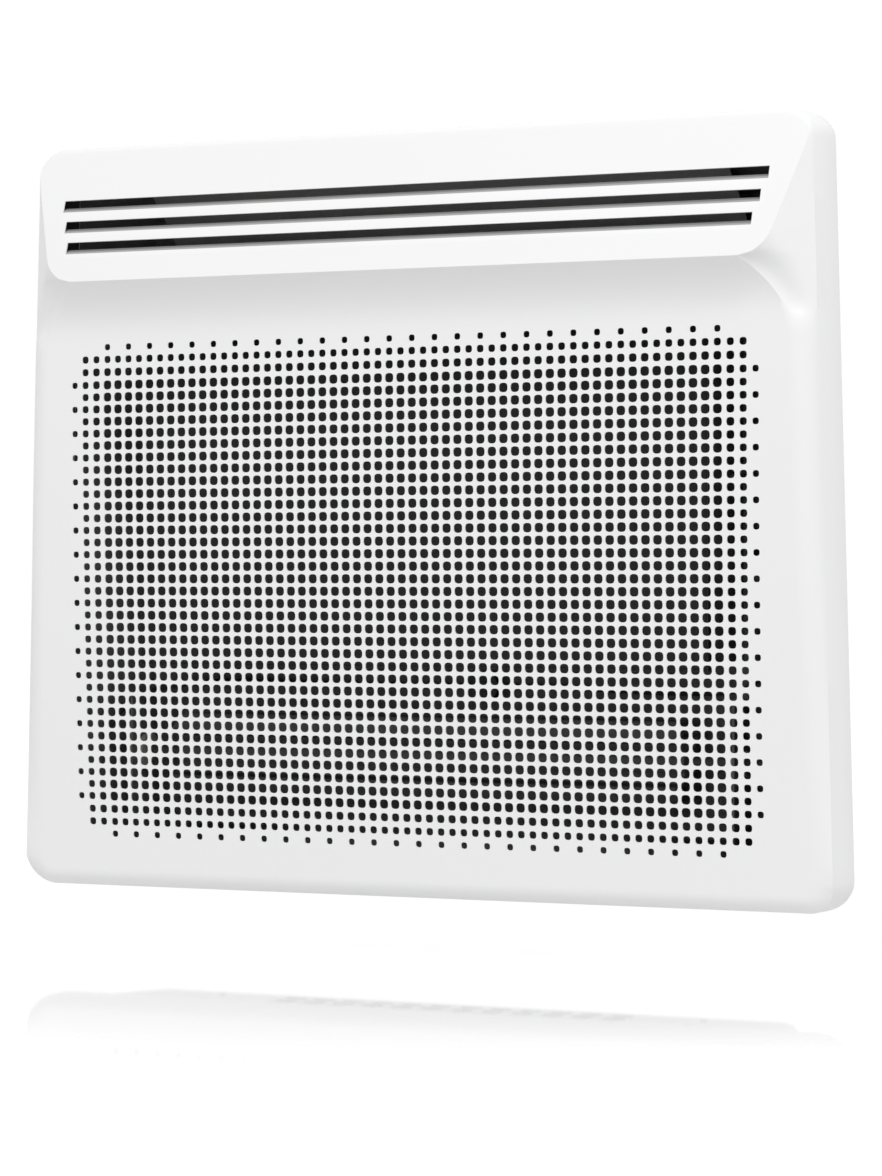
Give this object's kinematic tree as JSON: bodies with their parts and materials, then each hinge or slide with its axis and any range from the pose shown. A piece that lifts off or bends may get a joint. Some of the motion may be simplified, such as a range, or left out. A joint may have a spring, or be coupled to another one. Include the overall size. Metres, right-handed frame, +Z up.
{
  "type": "wall panel convector heater",
  "caption": "White wall panel convector heater with a perforated front, a sloping lip with outlet slots, a tapered rear casing, side controls and a wall bracket with turn latches.",
  "frame": {"origin": "middle of the wall bracket's rear face, on the wall", "axes": "+X to the right seen from the room, +Y into the wall, +Z up; the front faces -Y"},
  "size_m": [0.4888, 0.1136, 0.4115],
  "materials": {
    "panel_paint": "satin white powder coat",
    "casing_paint": "white powder coat, fine texture",
    "bracket_paint": "light grey powder coat",
    "screw_steel": "zinc plated",
    "bracket_steel": "galvanised sheet",
    "black_sheet": "heat-proof black enamel",
    "fin_aluminium": "extruded, matt",
    "tube_steel": "heat-darkened steel",
    "ceramic": "unglazed ceramic",
    "mica": "dark pressed mica",
    "black_plastic": "fine grain",
    "grey_plastic": "satin",
    "white_plastic": "satin",
    "board": "solder mask",
    "display": "smoked gloss",
    "lead_sleeve": "glass-fibre sleeve"
  },
  "bodies": {
    "heater": {"front_panel": "panel_paint", "rear_casing": "casing_paint", "panel_screw_1": "screw_steel", "panel_screw_2": "screw_steel", "panel_screw_3": "screw_steel", "panel_screw_4": "screw_steel", "panel_screw_5": "screw_steel", "panel_screw_6": "screw_steel", "panel_screw_7": "screw_steel", "panel_screw_8": "screw_steel", "cable_gland": "black_plastic", "lower_spacer_left": "grey_plastic", "lower_spacer_right": "grey_plastic", "wall_bracket": "bracket_paint", "heat_shield": "black_sheet", "air_guide": "black_sheet", "convection_fins": "fin_aluminium", "heating_tube": "tube_steel", "element_bracket_left": "bracket_steel", "ceramic_bush_left": "ceramic", "element_bracket_right": "bracket_steel", "ceramic_bush_right": "ceramic", "infrared_plate": "mica", "infrared_frame": "black_sheet", "frame_stile_left": "black_sheet", "frame_stile_right": "black_sheet", "frame_screw_1": "screw_steel", "frame_screw_2": "screw_steel", "frame_screw_3": "screw_steel", "frame_screw_4": "screw_steel", "thermal_cutout": "black_plastic", "tilt_switch": "black_plastic", "room_sensor": "black_plastic", "terminal_block": "white_plastic", "control_housing": "grey_plastic", "control_fascia": "white_plastic", "control_board": "board", "display_window": "display", "power_switch": "black_plastic", "lead_supply": "lead_sleeve", "lead_cutout": "lead_sleeve", "lead_return": "lead_sleeve", "lead_element": "lead_sleeve", "lead_infrared": "lead_sleeve", "lead_sensor": "lead_sleeve"},
    "latch_left": {"latch_left": "grey_plastic", "latch_clip_left": "screw_steel"},
    "latch_right": {"latch_right": "grey_plastic", "latch_clip_right": "screw_steel"},
    "button_mode": {"button_mode": "grey_plastic"},
    "button_minus": {"button_minus": "grey_plastic"},
    "button_plus": {"button_plus": "grey_plastic"},
    "button_timer": {"button_timer": "grey_plastic"},
    "power_rocker": {"power_rocker": "black_plastic"}
  },
  "joints": [
    {"name": "latch_left_turn", "type": "hinge", "parent": "heater", "child": "latch_left", "pos_m": [-0.1, -0.012, -0.094], "axis": [0, 1, 0], "range_deg": [0, 90]},
    {"name": "latch_right_turn", "type": "hinge", "parent": "heater", "child": "latch_right", "pos_m": [0.1, -0.012, -0.094], "axis": [0, -1, 0], "range_deg": [0, 90]},
    {"name": "button_mode_press", "type": "slide", "parent": "heater", "child": "button_mode", "axis": [-0.8971, -0.4419, 0], "range_m": [0, 0.0008], "stiffness_N_per_m": 1200},
    {"name": "button_minus_press", "type": "slide", "parent": "heater", "child": "button_minus", "axis": [-0.8971, -0.4419, 0], "range_m": [0, 0.0008], "stiffness_N_per_m": 1200},
    {"name": "button_plus_press", "type": "slide", "parent": "heater", "child": "button_plus", "axis": [-0.8971, -0.4419, 0], "range_m": [0, 0.0008], "stiffness_N_per_m": 1200},
    {"name": "button_timer_press", "type": "slide", "parent": "heater", "child": "button_timer", "axis": [-0.8971, -0.4419, 0], "range_m": [0, 0.0008], "stiffness_N_per_m": 1200},
    {"name": "power_rocker_tip", "type": "hinge", "parent": "heater", "child": "power_rocker", "pos_m": [0.20967, -0.04277, 0.051], "axis": [-0.4419, 0.8971, 0], "range_deg": [0, 16]}
  ]
}
